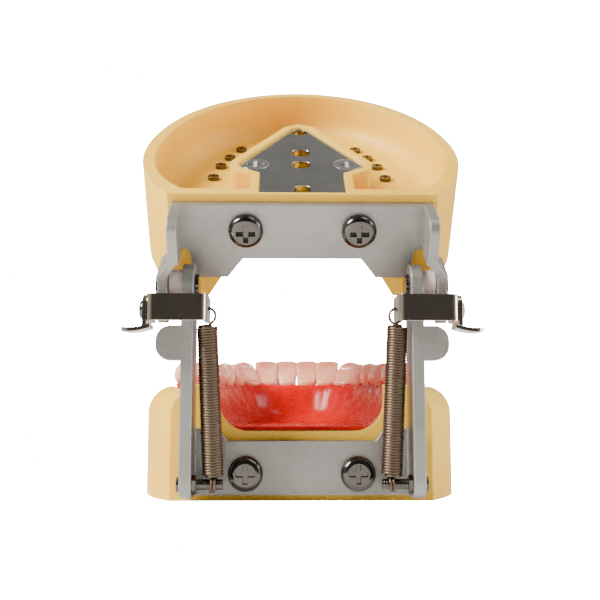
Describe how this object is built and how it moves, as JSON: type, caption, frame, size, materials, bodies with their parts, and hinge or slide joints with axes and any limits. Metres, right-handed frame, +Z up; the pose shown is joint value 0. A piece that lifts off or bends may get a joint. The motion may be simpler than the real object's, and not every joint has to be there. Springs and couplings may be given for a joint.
{
  "type": "dental articulator",
  "caption": "Hinged dental training articulator: two ivory jaw bases with red gums and teeth, joined at the back by a sprung steel frame with release clips.",
  "frame": {"origin": "centre of the whole object's box at rest, on the plane it stands on", "axes": "+X to the right seen from behind the hinge, +Y towards the incisors, +Z up; the jaws stand open at rest"},
  "size_m": [0.0692, 0.084, 0.101],
  "materials": {
    "ivory_resin": "satin moulded ivory plastic",
    "gum_resin": "soft glossy translucent red resin",
    "tooth_resin": "glossy tooth-coloured resin",
    "frame_steel": "satin sheet steel",
    "plate_steel": "polished dark steel",
    "chrome_hardware": "bright plated",
    "clip_chrome": "bright plated strip",
    "spring_steel": "drawn spring wire",
    "nickel_hardware": "dark nickel plate",
    "brass_insert": "turned",
    "spacer_plastic": "moulded washer"
  },
  "bodies": {
    "lower_jaw": {"left_hinge_pin": "nickel_hardware", "left_hinge_spacer": "spacer_plastic", "left_spring": "spring_steel", "left_spring_stud": "nickel_hardware", "lower_base": "ivory_resin", "lower_frame": "frame_steel", "lower_frame_inserts": "brass_insert", "lower_frame_screws": "nickel_hardware", "lower_gingiva": "gum_resin", "lower_left_canine": "tooth_resin", "lower_left_central_incisor": "tooth_resin", "lower_left_first_molar": "tooth_resin", "lower_left_first_premolar": "tooth_resin", "lower_left_lateral_incisor": "tooth_resin", "lower_left_second_molar": "tooth_resin", "lower_left_second_premolar": "tooth_resin", "lower_mounting_plate": "plate_steel", "lower_mounting_screws": "chrome_hardware", "lower_right_canine": "tooth_resin", "lower_right_central_incisor": "tooth_resin", "lower_right_first_molar": "tooth_resin", "lower_right_first_premolar": "tooth_resin", "lower_right_lateral_incisor": "tooth_resin", "lower_right_second_molar": "tooth_resin", "lower_right_second_premolar": "tooth_resin", "lower_tooth_screws": "nickel_hardware", "right_hinge_pin": "nickel_hardware", "right_hinge_spacer": "spacer_plastic", "right_spring": "spring_steel", "right_spring_stud": "nickel_hardware"},
    "upper_jaw": {"left_clip_pin": "nickel_hardware", "right_clip_pin": "nickel_hardware", "upper_base": "ivory_resin", "upper_frame": "frame_steel", "upper_frame_inserts": "brass_insert", "upper_frame_screws": "nickel_hardware", "upper_gingiva": "gum_resin", "upper_left_canine": "tooth_resin", "upper_left_central_incisor": "tooth_resin", "upper_left_first_molar": "tooth_resin", "upper_left_first_premolar": "tooth_resin", "upper_left_lateral_incisor": "tooth_resin", "upper_left_second_molar": "tooth_resin", "upper_left_second_premolar": "tooth_resin", "upper_mounting_plate": "plate_steel", "upper_mounting_screws": "chrome_hardware", "upper_right_canine": "tooth_resin", "upper_right_central_incisor": "tooth_resin", "upper_right_first_molar": "tooth_resin", "upper_right_first_premolar": "tooth_resin", "upper_right_lateral_incisor": "tooth_resin", "upper_right_second_molar": "tooth_resin", "upper_right_second_premolar": "tooth_resin", "upper_tooth_screws": "nickel_hardware"},
    "left_release": {"left_clip": "clip_chrome", "left_thumb_lever": "clip_chrome"},
    "right_release": {"right_clip": "clip_chrome", "right_thumb_lever": "clip_chrome"}
  },
  "joints": [
    {"name": "jaw_hinge", "type": "hinge", "parent": "lower_jaw", "child": "upper_jaw", "pos_m": [0, -0.03086, 0.0431], "axis": [1, 0, 0], "range_deg": [-37.5, 15], "deforming": ["left_spring", "right_spring"]},
    {"name": "left_clip_pivot", "type": "hinge", "parent": "upper_jaw", "child": "left_release", "pos_m": [-0.028, -0.03266, 0.038], "axis": [1, 0, 0], "range_deg": [-20, 0], "stiffness_Nm_per_rad": 0.01},
    {"name": "right_clip_pivot", "type": "hinge", "parent": "upper_jaw", "child": "right_release", "pos_m": [0.028, -0.03266, 0.038], "axis": [1, 0, 0], "range_deg": [-20, 0], "stiffness_Nm_per_rad": 0.01}
  ]
}
